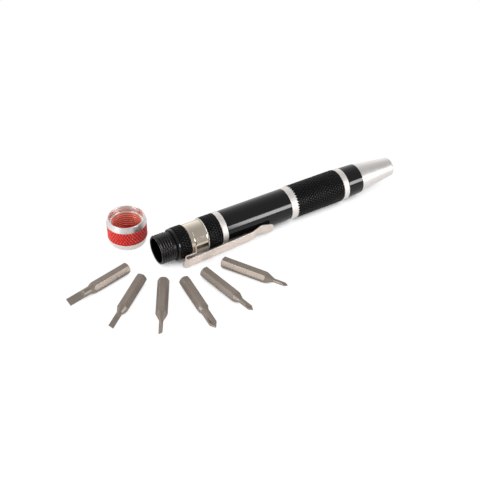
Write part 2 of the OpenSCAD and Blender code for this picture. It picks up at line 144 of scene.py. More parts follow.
class CapSettings(bpy.types.PropertyGroup):
    """Sizes of the end cap that its box doesn't give."""
    lip: length("Lip", "Wall of the skirt at its lip", 0.35)
    skirt: length("Skirt", "Depth of the skirt's bore", 2.35)
    taper: length("Taper", "How far the skirt's bore draws in to the seat", 0.6)
    bore: length("Bore", "Radius of the threaded bore", 5.899)
    rim: length("Rim", "Height of the bright rim", 2.4)
    rim_in: length("Rim In", "How far the rim draws in to its lip", 0.65)
    foot: length("Foot", "Height of the bright foot", 2.8)
    foot_in: length("Foot In", "How far the foot draws in to the table", 0.9)
    floor: length("Floor", "Thickness of the closed end", 2.0)
    knurl_in: length("Knurl In", "Depth of the knurled band below the rims", 0.1)


class ClipSettings(bpy.types.PropertyGroup):
    """The spring strip of the pocket clip, by the middle of its thickness."""
    thickness: length("Thickness", "Thickness of the strip", 0.45)
    width: length("Width", "Width of the leaf and the arm", 6.3)
    ease: length("Ease", "Rounding of the strip's edges", 0.12)
    drop: degrees("Drop", "Turn of the arm below the level of the axis", 22.75)
    band_radius: length("Band Radius", "Radius of the band", 5.834)
    band_flat: FloatProperty(name="Band Flat",
                             description="How far the band is sprung out of round under the arm",
                             default=0.3, min=0.0, max=1.0, subtype="FACTOR")
    band_gap: length("Band Gap", "Room at each end of the band", 0.1)
    split: length("Split", "Gap of the split in the band", 0.9)
    slit: length("Slit", "Relief slit between the band's rim and the leaf's root", 0.25)
    slit_reach: degrees("Slit Reach", "Angle to which the slit runs up from the arm", 48)
    rise: degrees("Rise", "Steepness of the step from band to leaf", 60)
    rise_bend: length("Rise Bend", "Bend radius of that step", 0.6)
    leaf_radius: length("Leaf Radius", "Distance of the leaf from the axis", 7.874)
    leaf: length("Leaf", "Length of the leaf", 3.6)
    fold: length("Fold", "Bend radius of the fold", 0.83)
    slope: degrees("Slope", "Slope of the arm towards the barrel", 2.9)
    arm: length("Arm", "Length of the straight arm", 28.2)
    dip: degrees("Dip", "Further slope of the dip at the barrel", 13.5)
    dip_bend: length("Dip Bend", "Bend radius before the dip", 4)
    dip_length: length("Dip Length", "Straight length of the dip", 3.55)
    touch_bend: length("Touch Bend", "Bend radius where the arm meets the barrel", 3)
    flare: degrees("Flare", "Slope of the flared tip", 15)
    flare_length: length("Flare Length", "Length of the flared tip", 4.6)
    tip_corner: length("Tip Corner", "Corner radius of the tip", 1.8)


class FinishSettings(bpy.types.PropertyGroup):
    """Colours of the finishes."""
    gloss_black: swatch("Gloss Black", "Black dye of the polished sleeves", "#0B0B0C")
    # The black grooves' colour is darker than the crests' as painted shade in the grooves
    knurl_black: swatch("Knurl Black", "Black dye in the knurl's grooves", "#020202")
    knurl_crest: swatch("Knurl Crest", "Worn crests of the black knurl", "#080808")
    # The thread's crests are pale grey as a painted highlight on each ridge
    thread_crest: swatch("Thread Crest", "Worn crests of the neck's thread", "#2C2927")
    # The cap's red grooves are darker than its crests as painted shade, and the crests lighter as a painted
    # sheen
    red: swatch("Red", "Red dye in the cap's grooves", "#CE241F")
    red_crest: swatch("Red Crest", "Crests of the cap's knurl", "#FF5248")
    # The cup's red is painted lighter than the outer red to stand in for light inside it, and its thread
    # crests are paler still as a painted highlight
    red_root: swatch("Red Root", "Dye at the root of the cap's inner thread", "#F0604E")
    red_bore: swatch("Red Bore", "Paler dye on the cap's inner thread", "#FFC4B0")
    bright: swatch("Bright Aluminium", "Bright turned aluminium", "#F5F1EE")
    satin: swatch("Satin Aluminium", "Satin turned aluminium", "#F0ECE9")
    nickel: swatch("Nickel", "Nickel plate on the spring steel", "#F6EAE2")
    band: swatch("Band", "Nickel plate of the band, warmer where it is polished", "#E2D6C6")
    tool_steel: swatch("Tool Steel", "Satin tool steel of the bits", "#A49990")


class StageSettings(bpy.types.PropertyGroup):
    """Camera and light of the photograph."""
    azimuth: degrees("Azimuth", "Turn of the camera about the object", -30.1)
    elevation: degrees("Elevation", "Height of the camera above the table", 39.91)
    distance: length("Distance", "Distance from the camera to what it looks at", 395.1)
    target: FloatVectorProperty(name="Target", description="Point on the table that the camera looks at",
                                default=(MOUTH + 34.63 * MM, AXIS_Y - 3.53 * MM), size=2, subtype="XYZ",
                                unit="LENGTH")
    lens: FloatProperty(name="Lens", description="Focal length on a 36 mm sensor", default=75.25, min=10.0,
                        max=300.0, unit="CAMERA")
    softbox: FloatProperty(name="Softbox", description="Power of the tall softbox in front", default=10.4,
                           min=0.0, unit="POWER")
    fill: FloatProperty(name="Fill", description="Power of the square softbox on the left", default=6.8,
                        min=0.0, unit="POWER")


class DriverSettings(bpy.types.PropertyGroup):
    """All settings of the screwdriver."""
    knurl: PointerProperty(type=KnurlSettings)
    thread: PointerProperty(type=ThreadSettings)
    body: PointerProperty(type=BodySettings)
    cap: PointerProperty(type=CapSettings)
    clip: PointerProperty(type=ClipSettings)
    finish: PointerProperty(type=FinishSettings)
    stage: PointerProperty(type=StageSettings)


# Meshes

def grid_faces(nu, nv, wrap_v):
    """Corner indices of the quads of an nu by nv grid, closed round u, and round v where wrap_v is true."""
    a, b = np.meshgrid(np.arange(nu), np.arange(nv if wrap_v else nv - 1), indexing="ij")
    c, d = (a + 1) % nu, (b + 1) % nv
    return np.stack([a * nv + b, c * nv + b, c * nv + d, a * nv + d], -1).reshape(-1, 4)


def make_piece(name, points, faces, material, body, replaced=None, crest=None, sharp=35.0):
    """Put points (n, 3) and quads (m, 4) into a mesh, weld points that coincide, and make it ride on a
    body. Edges sharper than an angle in degrees stay hard."""
    mesh = bpy.data.meshes.new(name)
    mesh.vertices.add(len(points))
    mesh.vertices.foreach_set("co", np.ascontiguousarray(points, np.float32).ravel())
    mesh.loops.add(faces.size)
    mesh.loops.foreach_set("vertex_index", np.ascontiguousarray(faces, np.int32).ravel())
    mesh.polygons.add(len(faces))
    mesh.polygons.foreach_set("loop_start", np.arange(0, faces.size, faces.shape[1], dtype=np.int32))
    mesh.update(calc_edges=True)
    if crest is not None:
        layer = mesh.attributes.new("crest", "FLOAT", "POINT")
        layer.data.foreach_set("value", np.ascontiguousarray(crest, np.float32).ravel())
    work = bmesh.new()
    work.from_mesh(mesh)
    bmesh.ops.remove_doubles(work, verts=work.verts, dist=WELD)
    bmesh.ops.dissolve_degenerate(work, edges=work.edges, dist=WELD / 10)
    work.to_mesh(mesh)
    work.free()
    mesh.polygons.foreach_set("use_smooth", np.ones(len(mesh.polygons), bool))
    mesh.set_sharp_from_angle(angle=math.radians(sharp))
    mesh.materials.append(material)
    piece = bpy.data.objects.new(name, mesh)
    bpy.context.scene.collection.objects.link(piece)
    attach(piece, body)
    if replaced:
        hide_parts(replaced)


def eased(corners, cuts, steps=5):
    """A profile whose corners are eased: each corner P between the points A and B, a cut away from it on
    its two sides, becomes the parabola (1-t)^2 A + 2t(1-t) P + t^2 B. A point half a cut further on each
    side keeps the straight lengths true to the light. The first and last corners stay as they are."""
    p = np.array(corners, float)
    cut = np.array(cuts, float)[1:-1, None]
    before, after = p[:-2] - p[1:-1], p[2:] - p[1:-1]
    a = p[1:-1] + before / np.linalg.norm(before, axis=1, keepdims=True) * cut
    b = p[1:-1] + after / np.linalg.norm(after, axis=1, keepdims=True) * cut
    t = np.linspace(0, 1, steps)[None, :, None]
    bends = (1 - t) ** 2 * a[:, None] + 2 * t * (1 - t) * p[1:-1][:, None] + t ** 2 * b[:, None]
    guards = [(p[1:-1] + 1.5 * (side - p[1:-1]))[:, None] for side in (a, b)]
    bends = np.concatenate([guards[0], bends, guards[1]], 1)
    return np.concatenate([p[:1], bends.reshape(-1, 2), p[-1:]])


def along_handle(stations, radii):
    """Carry a profile of station and radius round the handle: (x, axis_y + r cos a, axis_z + r sin a)."""
    radii = np.asarray(radii)
    angle = np.linspace(0, 2 * np.pi, len(radii), endpoint=False)[:, None]
    x = np.broadcast_to(stations, radii.shape)
    return np.stack([x, AXIS_Y + radii * np.cos(angle), AXIS_Z + radii * np.sin(angle)], -1).reshape(-1, 3)


def upright(centre, heights, radii):
    """Carry a profile of height and radius round an upright axis: (x + r cos a, y + r sin a, height)."""
    radii = np.asarray(radii)
    angle = np.linspace(0, 2 * np.pi, len(radii), endpoint=False)[:, None]
    x, y = centre[0] + radii * np.cos(angle), centre[1] + radii * np.sin(angle)
    return np.stack([x, y, np.broadcast_to(heights, radii.shape)], -1).reshape(-1, 3)


def knurl_field(start, end, radius, knurl):
    """Diamond knurl on a grid of angle and station. With a = n angle / 2 pi + station / pitch and b the
    same with a minus, g is the lesser of the distances of a and b to their nearest whole numbers, cut off
    at the crest's flat and scaled to 0..1, and the height 1 - (1 - g)^3 domes each diamond. Returns the
    stations and the heights (around, along)."""
    count = round(2 * math.pi * radius / knurl.round_pitch)
    rows = max(2, round((end - start) / knurl.along_pitch * knurl.samples))
    station = np.linspace(start, end, rows + 1)
    turn = np.arange(count * knurl.samples)[:, None] / knurl.samples
    shift = (station - start)[None, :] / knurl.along_pitch
    gap = [np.abs(v - np.round(v)) for v in (turn + shift, turn - shift)]
    return station, 1 - (1 - np.clip(np.minimum(*gap) / (0.5 - knurl.crest / 2), 0, 1)) ** 3


def thread_field(station, around, pitch):
    """Helical ridge on a grid of angle and station: with p the fraction of station / pitch - angle / 2 pi,
    the height is a triangle in p, made steeper about its middle and cut off at the crest and the root,
    0..1."""
    steepness = 1.7
    turn = np.arange(around)[:, None] / around
    p = (station[None, :] / pitch - turn) % 1
    return np.clip(steepness * (1 - np.abs(2 * p - 1)) - (steepness - 1) / 2, 0, 1)


# Materials

# Noise seldom leaves this middle range, so it is spread to the full one
MIDDLE = {"From Min": 0.3, "From Max": 0.7}


def set_inputs(tree, node, inputs):
    """Set each input of a node, or link it to a socket or to the first output of another node."""
    for key, value in inputs.items():
        if isinstance(value, bpy.types.Node):
            value = value.outputs[0]
        if isinstance(value, bpy.types.NodeSocket):
            tree.links.new(value, node.inputs[key])
        else:
            node.inputs[key].default_value = value


def add(tree, kind, inputs=None, **settings):
    """Add a shader node with its inputs and settings."""
    node = tree.nodes.new(kind)
    for key, value in settings.items():
        setattr(node, key, value)
    set_inputs(tree, node, inputs or {})
    return node


def new_material(name, index=None):
    """A material with its tree, its Principled shader and its Object coordinates. A metal keeps the default
    index of refraction."""
    material = bpy.data.materials.new(name)
    material.use_nodes = True
    tree = material.node_tree
    shader = tree.nodes["Principled BSDF"]
    if index:
        shader.inputs["IOR"].default_value = index
    return material, tree, shader, add(tree, "ShaderNodeTexCoord").outputs["Object"]


def turned_finish(name, colour, metallic, roughness, line=0.25, run=14, rise=0.001, index=None,
                  upright_axis=False):
    """A lathe-turned surface: lines run round the piece, with a change of gloss from line to line. Real
    lines are too fine to show, so they are drawn some tenths of a millimetre apart. The noise is fine along
    the axis and long across it. Line, run and rise are in millimetres."""
    material, tree, shader, coords = new_material(name, index)
    fine, slow = 1 / (line * MM), 1 / (run * MM)
    scale = (slow, slow, fine) if upright_axis else (fine, slow, slow)
    place = add(tree, "ShaderNodeMapping", {"Vector": coords, "Scale": scale})
    lines = add(tree, "ShaderNodeTexNoise",
                {"Vector": place, "Scale": 1.0, "Detail": 3.0, "Roughness": 0.6}).outputs["Fac"]
    gloss = add(tree, "ShaderNodeMapRange",
                {"Value": lines, **MIDDLE, "To Min": roughness * 0.8, "To Max": roughness * 1.25})
    bump = add(tree, "ShaderNodeBump", {"Height": lines, "Strength": 0.5, "Distance": rise * MM})
    set_inputs(tree, shader, {"Base Color": (*colour, 1), "Metallic": metallic,
                              "Roughness": gloss, "Normal": bump})
    return material


def crested_finish(name, shaded_groove, crest, metallic, rough_groove, rough_crest, grain=0.9, rise=0.02,
                   index=None):
    """An anodised surface with ridges, coloured by their height and a coarse grain: the grooves take the
    darker colour as painted shade, and the crests take the lighter one, partly polished by handling and
    partly a painted sheen. The grain of that polish is drawn coarse, near a diamond's size, so that it shows
    as crests that differ. Grain and rise are in millimetres."""
    material, tree, shader, coords = new_material(name, index)
    height = add(tree, "ShaderNodeAttribute", attribute_name="crest").outputs["Fac"]
    noise = add(tree, "ShaderNodeTexNoise",
                {"Vector": coords, "Scale": 1 / (grain * MM), "Detail": 4.0}).outputs["Fac"]
    height_by_grain = add(tree, "ShaderNodeMath", {0: height, 1: noise}, operation="MULTIPLY")
    wear_and_shade = add(tree, "ShaderNodeMapRange", {"Value": height_by_grain, "From Min": 0.15, "From Max": 0.55}).outputs[0]
    # Painted shade goes into the grooves and a painted sheen onto the crests, by height times grain
    mix = add(tree, "ShaderNodeMix", {0: wear_and_shade, 6: (*shaded_groove, 1), 7: (*crest, 1)}, data_type="RGBA")
    gloss = add(tree, "ShaderNodeMapRange", {"Value": wear_and_shade, "To Min": rough_groove, "To Max": rough_crest})
    bump = add(tree, "ShaderNodeBump", {"Height": noise, "Strength": 0.3, "Distance": rise * MM})
    set_inputs(tree, shader, {"Base Color": mix.outputs[2], "Metallic": metallic,
                              "Roughness": gloss, "Normal": bump})
    return material


def satin_steel(name, colour, spread, roughness, mottle, grain, strength, patch=4, rise=0.01):
    """Tumbled steel: an even grain, with faint patches where the plating or the oil film is thicker. The
    real grain is too fine for the render, so it is drawn several times as coarse to show. Grain, patch and
    rise are in millimetres, and spread and mottle are the shares by which colour and gloss vary."""
    material, tree, shader, coords = new_material(name)
    film, noise = (add(tree, "ShaderNodeTexNoise",
                       {"Vector": coords, "Scale": 1 / (size * MM), "Detail": detail}).outputs["Fac"]
                   for size, detail in ((patch, 3.0), (grain, 2.0)))
    fade = add(tree, "ShaderNodeMapRange", {"Value": film, **MIDDLE})
    thin, thick = ((*np.clip(np.array(colour) * share, 0, 1), 1) for share in (1 - spread, 1 + spread))
    mix = add(tree, "ShaderNodeMix", {0: fade, 6: thin, 7: thick}, data_type="RGBA")
    gloss = add(tree, "ShaderNodeMapRange", {"Value": noise, **MIDDLE, "To Min": roughness * (1 - mottle),
                                             "To Max": roughness * (1 + mottle)})
    bump = add(tree, "ShaderNodeBump", {"Height": noise, "Strength": strength, "Distance": rise * MM})
    set_inputs(tree, shader, {"Base Color": mix.outputs[2], "Metallic": 1.0,
                              "Roughness": gloss, "Normal": bump})
    return material


# How each finish is made. A word names a colour of the settings
FINISHES = {
    # A deep black with one long, sharp streak of lamp light along it
    "polished black anodised aluminium": (turned_finish, dict(
        colour="gloss_black", metallic=0.0, roughness=0.1, line=0.5, rise=0.0006, index=1.45)),
    # A matt black field with a small glint on each rubbed diamond, its grooves a little darker as painted
    # shade
    "black anodised knurled aluminium": (crested_finish, dict(
        shaded_groove="knurl_black", crest="knurl_crest", metallic=0.0, rough_groove=0.4, rough_crest=0.1,
        index=1.32)),
    # Black with soft grey lines of painted highlight, one on each crest of the thread
    "black anodised threaded aluminium": (crested_finish, dict(
        shaded_groove="knurl_black", crest="thread_crest", metallic=0.0, rough_groove=0.26, rough_crest=0.2,
        index=1.41)),
    # Deep red grooves darkened as painted shade, between lighter satin diamonds with a painted sheen
    "red anodised knurled aluminium": (crested_finish, dict(
        shaded_groove="red", crest="red_crest", metallic=0.2, rough_groove=0.42, rough_crest=0.28)),
    # Pale pink threads of painted highlight, over a red bore painted lighter than the outer red as light
    # inside the cup
    "red anodised threaded aluminium": (crested_finish, dict(
        shaded_groove="red_root", crest="red_bore", metallic=0.35, rough_groove=0.34, rough_crest=0.22)),
    # A near-white ring with a broad soft highlight and faint lines round it
    "bright turned aluminium": (turned_finish, dict(colour="bright", metallic=1.0, roughness=0.62)),
    # The same metal with a tighter highlight, for the cap's rim and foot
    "bright turned aluminium of the cap": (turned_finish, dict(
        colour="bright", metallic=1.0, roughness=0.33, upright_axis=True)),
    # A bright cone whose highlight runs its whole length, softly edged
    "satin turned aluminium": (turned_finish, dict(colour="satin", metallic=1.0, roughness=0.4, line=0.35)),
    # A warm, milky silver that shows little of its surroundings
    "nickel plated spring steel": (satin_steel, dict(
        colour="nickel", spread=0.04, roughness=0.45, mottle=0.08, grain=0.4, strength=0.04)),
    # A mirror round the neck, dark and light in hard-edged stripes
    "polished nickel plated spring steel": (satin_steel, dict(
        colour="band", spread=0.04, roughness=0.06, mottle=0.04, grain=1.5, strength=0.01)),
    # A warm grey, each flat of the hexagon in one even tone
    "tumbled tool steel": (satin_steel, dict(
        colour="tool_steel", spread=0.06, roughness=0.54, mottle=0.06, grain=0.4, strength=0.03)),
}


def finish(kind):
    """The material of a finish, made at its first use."""
    made = bpy.data.materials.get(kind)
    if made:
        return made
    hues = bpy.context.scene.pocket_driver.finish
    make, looks = FINISHES[kind]
    return make(kind, **{key: getattr(hues, v) if isinstance(v, str) else v for key, v in looks.items()})


def dress(node, kind):
    """Give a CAD node its finish in its own material slots."""
    for holder in frame["nodes"][node].material_slots:
        holder.material = finish(kind)


class DRIVER_OT_stage(bpy.types.Operator):
    """Pale floor, room, two softboxes and the photograph's camera"""
    bl_idname = "driver.stage"
    bl_label = "Stage"

    def execute(self, context):
        stage = context.scene.pocket_driver.stage
        self.room(context.scene)
        self.floor()
        # The tall box stands to the right, and the handle mirrors it as a streak ahead of the clip
        front = Vector((0.7375, AXIS_Y - 1.2, AXIS_Z + 0.375))
        facing = Euler((math.radians(72), 0, math.radians(4)), "ZYX").to_quaternion()
        self.softbox("front softbox", stage.softbox, size=(0.465, 0.58), place=front, turn=facing,
                     fade=(0.04, 0.12))
        # The square box faces the middle of the table
        left = Vector((-0.94, -0.16, 0.3))
        self.softbox("left softbox", stage.fill, size=(0.6, 0.6), place=left,
                     turn=left.to_track_quat("Z", "Y"), fade=(0.2, 0.2))
        self.camera(context.scene, stage)
        context.scene.view_settings.view_transform = "Standard"
        return {"FINISHED"}

    def room(self, scene):
        """White to the camera. Reflections see a pale backdrop behind the table that darkens towards the
        front and up: dark + rise * p^2, where p is 0 in front and 1 behind."""
        soft_light, dark, rise = 0.58, 0.45, 0.75
        world = bpy.data.worlds.new("studio room")
        world.use_nodes = True
        scene.world = world
        tree = world.node_tree
        tree.nodes.clear()
        path = add(tree, "ShaderNodeLightPath")
        way = add(tree, "ShaderNodeTexCoord").outputs["Generated"]
        lean = add(tree, "ShaderNodeVectorMath", {0: way, 1: (0.0, 0.9, -0.45)}, operation="DOT_PRODUCT")
        pale = add(tree, "ShaderNodeMapRange",
                   {"Value": lean.outputs["Value"], "From Min": -0.6, "From Max": 0.8})
        curve = add(tree, "ShaderNodeMath", {0: pale, 1: 2.0}, operation="POWER")
        wall = add(tree, "ShaderNodeMath", {0: curve, 1: rise, 2: dark}, operation="MULTIPLY_ADD")
        level = add(tree, "ShaderNodeMix", {0: path.outputs["Is Glossy Ray"], 2: soft_light, 3: wall})
        strength = add(tree, "ShaderNodeMix", {0: self.direct(tree, path), 2: level, 3: 1.0})
        light = add(tree, "ShaderNodeBackground", {"Color": (1, 1, 1, 1), "Strength": strength})
        add(tree, "ShaderNodeOutputWorld", {"Surface": light})

    def direct(self, tree, path):
        """1 for what the camera sees, straight or through glass, and 0 for all other light."""
        return add(tree, "ShaderNodeMath",
                   {0: path.outputs["Is Camera Ray"], 1: path.outputs["Is Transmission Ray"]},
                   operation="MAXIMUM")

    def floor(self):
        """A round sheet of white paper, just below the table, so that it touches nothing that lies there."""
        around, rings, radius, drop = 96, 24, 0.19, 0.02 * MM
        radii = np.broadcast_to(np.linspace(0, radius, rings), (around, rings))
        points = upright((0.0, 0.0), np.full(rings, -drop), radii)
        mesh = bpy.data.meshes.new("paper floor")
        mesh.from_pydata(points.tolist(), [], grid_faces(around, rings, False)[:, ::-1].tolist())
        work = bmesh.new()
        work.from_mesh(mesh)
        bmesh.ops.remove_doubles(work, verts=work.verts, dist=WELD)
        bmesh.ops.recalc_face_normals(work, faces=work.faces)
        work.to_mesh(mesh)
        work.free()
        mesh.materials.append(self.paper())
        piece = bpy.data.objects.new("paper_floor", mesh)
        bpy.context.scene.collection.objects.link(piece)

    def paper(self):
        """White studio paper, lit from below so that it looks pure white: its glow covers most of its
        shading, and all of it towards the rim. Mirrors see a share of the glow."""
        mirror_share = 0.3
        material = bpy.data.materials.new("white studio paper")
        material.use_nodes = True
        tree = material.node_tree
        tree.nodes.clear()
        path = add(tree, "ShaderNodeLightPath")
        coords = add(tree, "ShaderNodeTexCoord").outputs["Object"]
        far = add(tree, "ShaderNodeVectorMath", {0: coords}, operation="LENGTH")
        share = add(tree, "ShaderNodeMapRange",
                    {"Value": far.outputs["Value"], "From Min": 0.09, "From Max": 0.18, "To Min": 0.94},
                    interpolation_type="SMOOTHSTEP")
        # Deep gaps, such as the one behind the clip, keep their full shade
        open_sky = add(tree, "ShaderNodeAmbientOcclusion", {"Distance": 12 * MM}, samples=8)
        deep = add(tree, "ShaderNodeMapRange",
                   {"Value": open_sky.outputs["AO"], "From Min": 0.15, "From Max": 0.34},
                   interpolation_type="SMOOTHSTEP")
        bare = add(tree, "ShaderNodeMath", {0: share, 1: deep}, operation="MULTIPLY")
        mirrored = add(tree, "ShaderNodeMath", {0: path.outputs["Is Glossy Ray"], 1: mirror_share},
                       operation="MULTIPLY")
        seen = add(tree, "ShaderNodeMath", {0: self.direct(tree, path), 1: mirrored}, operation="MAXIMUM")
        part = add(tree, "ShaderNodeMath", {0: bare, 1: seen}, operation="MULTIPLY")
        sheet = add(tree, "ShaderNodeBsdfDiffuse", {"Color": (0.9, 0.9, 0.9, 1)})
        glow = add(tree, "ShaderNodeEmission", {"Color": (1, 1, 1, 1), "Strength": 1.05})
        both = add(tree, "ShaderNodeMixShader", {0: part, 1: sheet, 2: glow})
        add(tree, "ShaderNodeOutputMaterial", {"Surface": both})
        return material

    def softbox(self, name, power, size, place, turn, fade):
        """A flat box lamp that fades to its edges over a share of its width and of its height."""
        lamp = bpy.data.lights.new(name, "AREA")
        lamp.shape = "RECTANGLE"
        lamp.size, lamp.size_y = size
        lamp.energy = power
        lamp.use_nodes = True
        tree = lamp.node_tree
        spot = add(tree, "ShaderNodeNewGeometry").outputs["Parametric"]
        sides = add(tree, "ShaderNodeSeparateXYZ", {0: spot})
        strength = 1.0
        for side, reach in zip(sides.outputs, fade):
            edge = add(tree, "ShaderNodeMath", {0: side, 1: 0.5}, operation="PINGPONG")
            fall = add(tree, "ShaderNodeMapRange", {"Value": edge, "From Max": reach},
                       interpolation_type="SMOOTHSTEP")
            strength = add(tree, "ShaderNodeMath", {0: strength, 1: fall}, operation="MULTIPLY").outputs[0]
        set_inputs(tree, tree.nodes["Emission"], {"Strength": strength})
        box = bpy.data.objects.new(name, lamp)
        box.location = place
        box.rotation_mode = "QUATERNION"
        box.rotation_quaternion = turn
        bpy.context.scene.collection.objects.link(box)

    def camera(self, scene, stage):
        """A camera at the photograph's angle and distance, aimed at a point on the table."""
        data = bpy.data.cameras.new("photograph camera")
        data.sensor_fit, data.sensor_width, data.sensor_height = "HORIZONTAL", 36.0, 36.0
        data.lens = stage.lens
        data.clip_start, data.clip_end = 0.02, 10.0
        camera = bpy.data.objects.new("photograph camera", data)
        a, e = stage.azimuth, stage.elevation
        back = Vector((math.sin(a) * math.cos(e), -math.cos(a) * math.cos(e), math.sin(e)))
        camera.location = Vector((*stage.target, 0.0)) + stage.distance * back
        camera.rotation_euler = back.to_track_quat("Z", "Y").to_euler()
        scene.collection.objects.link(camera)
        scene.camera = camera


class DRIVER_OT_core_tube(bpy.types.Operator):
    """Core tube with its threaded neck, the bore that stores the bits and the one that takes the nose"""
    bl_idname = "driver.core_tube"
    bl_label = "Core Tube"

    def execute(self, context):
        settings = context.scene.pocket_driver
        thread, body, core = settings.thread, settings.body, settings.body.core_radius
        bottom_ease, mouth_ease, lead_in, lead_slope = 0.2 * MM, 0.3 * MM, 0.35 * MM, 0.9
        x0, x1, neck = span("core_tube")
        shoulder = span("rear_collar")[0]
        store, bottom = STORE["dims"]["r_mm"] * MM, x0 + STORE["dims"]["length_mm"] * MM
        mouth = neck - lead_in
        around = 144
        bore = eased([(bottom, 0), (bottom, store), (x0, store), (x0, mouth)],
                     [0, bottom_ease, mouth_ease, 0])
        # The thread fades out over half a turn before its relief, and a cone leads into it at the mouth
        station = np.linspace(x0, shoulder, round((shoulder - x0) / thread.pitch * THREAD_ROWS) + 1)
        run_out = np.clip((shoulder - thread.relief - station) / (0.5 * thread.pitch), 0, 1)
        ridge = thread_field(station - x0, around, thread.pitch) * run_out
        radius = np.minimum(neck - thread.height * (1 - ridge), mouth + lead_slope * (station - x0))
        # The front bore takes the nose's shank, with as much room as the sleeves have round the tube
        hole, seat = body.shank_radius + body.sleeve_bore - core, span("nose_cone")[0]
        tail = np.array([(shoulder, core), (x1, core), (x1, hole), (seat, hole), (seat, 0)])
        stations = np.concatenate([bore[:, 0], station, tail[:, 0]])
        flat = np.ones((around, 1))
        radii = np.concatenate([flat * bore[:, 1], radius, flat * tail[:, 1]], 1)
        crest = np.concatenate([0 * flat * bore[:, 1], ridge, 0 * flat * tail[:, 1]], 1)
        faces = grid_faces(around, len(stations), False)
        make_piece("threaded_core_tube", along_handle(stations, radii), faces,
                   finish("black anodised threaded aluminium"), "handle", "core_tube", crest)
        return {"FINISHED"}


class DRIVER_OT_knurled_sleeves(bpy.types.Operator):
    """Rear collar, clip collar and grip with a diamond knurl"""
    bl_idname = "driver.knurled_sleeves"
    bl_label = "Knurled Sleeves"

    def execute(self, context):
        body = context.scene.pocket_driver.body
        shoulder_edge = 0.1 * MM
        x0, x1, radius = span("rear_collar")
        self.sleeve(context, "rear_collar", x0 + body.shoulder_length, x1, radius, shoulder_edge,
                    body.knurl_edge)
        self.shoulder(body, x0, radius - body.shoulder_drop)
        x0, x1, radius = span("clip_collar")
        self.sleeve(context, "clip_collar", x0 + body.bright_edge, x1, radius, 0.0, HAIR)
        self.bright_edge(body, x0, radius)
        x0, x1, radius = span("grip_sleeve")
        self.sleeve(context, "grip_sleeve", x0, x1, radius, 0.0, body.knurl_edge)
        return {"FINISHED"}

    def sleeve(self, context, node, x0, x1, radius, rear, front):
        """A ring whose outside is the knurl, cut by a 45 degree cone at each end."""
        settings = context.scene.pocket_driver
        station, height = knurl_field(x0, x1, radius, settings.knurl)
        cones = np.minimum(radius - rear + station - x0, radius - front + x1 - station)
        outside = np.minimum(radius - settings.knurl.depth * (1 - height), cones)
        flat = np.ones((len(height), 2))
        stations = np.concatenate([station, [x1, x0]])
        radii = np.concatenate([outside, flat * settings.body.sleeve_bore], 1)
        crest = np.concatenate([height, flat * 0], 1)
        faces = grid_faces(len(height), len(stations), True)
        material = finish("black anodised knurled aluminium")
        make_piece(f"knurled_{node}", along_handle(stations, radii), faces, material, "handle",
                   node, crest, CUT_SHARP)

    def ring(self, name, profile, kind, slot):
        """A turned ring from its closed profile of station and radius."""
        radii = np.broadcast_to(profile[:, 1], (AROUND, len(profile)))
        faces = grid_faces(AROUND, len(profile), True)
        make_piece(name, along_handle(profile[:, 0], radii), faces, finish(kind), "handle")

    def shoulder(self, body, x0, radius):
        """The plain shoulder behind the rear knurl: with u from -1 to 1 along it, its radius falls by the
        crown times u^2."""
        rows = 15
        u = np.linspace(-1, 1, rows)
        x = x0 + (u + 1) / 2 * body.shoulder_length
        outside = np.stack([x, radius - body.crown * u ** 2], -1)
        profile = np.concatenate([outside, [(x[-1], body.sleeve_bore), (x0, body.sleeve_bore)]])
        self.ring("plain_shoulder", profile, "polished black anodised aluminium", "gloss_black")

    def bright_edge(self, body, x0, radius):
        """The chamfer at the rear of the clip collar, cut bright through the black."""
        cut, bore = body.bright_edge, body.sleeve_bore
        profile = eased([(x0, bore), (x0, radius - cut), (x0 + cut, radius - HAIR), (x0 + cut, bore)],
                        [0, HAIR, HAIR, 0])
        self.ring("bright_collar_edge", profile, "bright turned aluminium", "bright_aluminium")


class DRIVER_OT_smooth_sleeves(bpy.types.Operator):
    """Barrel, front collar and the three bright rings"""
    bl_idname = "driver.smooth_sleeves"
    bl_label = "Smooth Sleeves"

    def execute(self, context):
        settings = context.scene.pocket_driver
        body = settings.body
        rise = span("grip_sleeve")[2] - span("barrel_sleeve")[2] - 2 * HAIR
        bright = "bright turned aluminium", "bright_aluminium"
        black = "polished black anodised aluminium", "gloss_black"
        self.sleeve(body, "rear_ring", *bright)
        self.sleeve(body, "barrel_sleeve", *black)
        self.sleeve(body, "middle_ring", *bright, rear_fall=rise, knurl=settings.knurl)
        self.sleeve(body, "front_ring", *bright)
        self.sleeve(body, "front_collar", *black, front_fall=body.collar_fall)
        return {"FINISHED"}

    def sleeve(self, body, node, kind, slot, rear_fall=0.0, front_fall=0.0, knurl=None):
        """A ring with eased edges whose outside runs straight from its rear to its front radius. Before a
        knurl, its front edge reaches into the grooves: by the tooth's length times one less the knurl's g
        at that angle."""
        x0, x1, radius = span(node)
        bore = body.sleeve_bore
        profile = eased([(x0, bore), (x0, radius - rear_fall), (x1, radius - front_fall), (x1, bore)],
                        [0, body.edge, body.edge, 0], steps=6)
        reach = np.zeros((AROUND, 1))
        if knurl:
            height = knurl_field(*span("grip_sleeve"), knurl)[1][:, :1]
            reach = body.tooth * (1 - height) ** (1 / 3)
        front = (profile[:, 0] > (x0 + x1) / 2) & (profile[:, 1] > bore)
        stations = profile[:, 0] + reach * front
        radii = np.broadcast_to(profile[:, 1], stations.shape)
        faces = grid_faces(len(reach), len(profile), True)
        points = along_handle(stations, radii)
        make_piece(f"turned_{node}", points, faces, finish(kind), "handle", node)


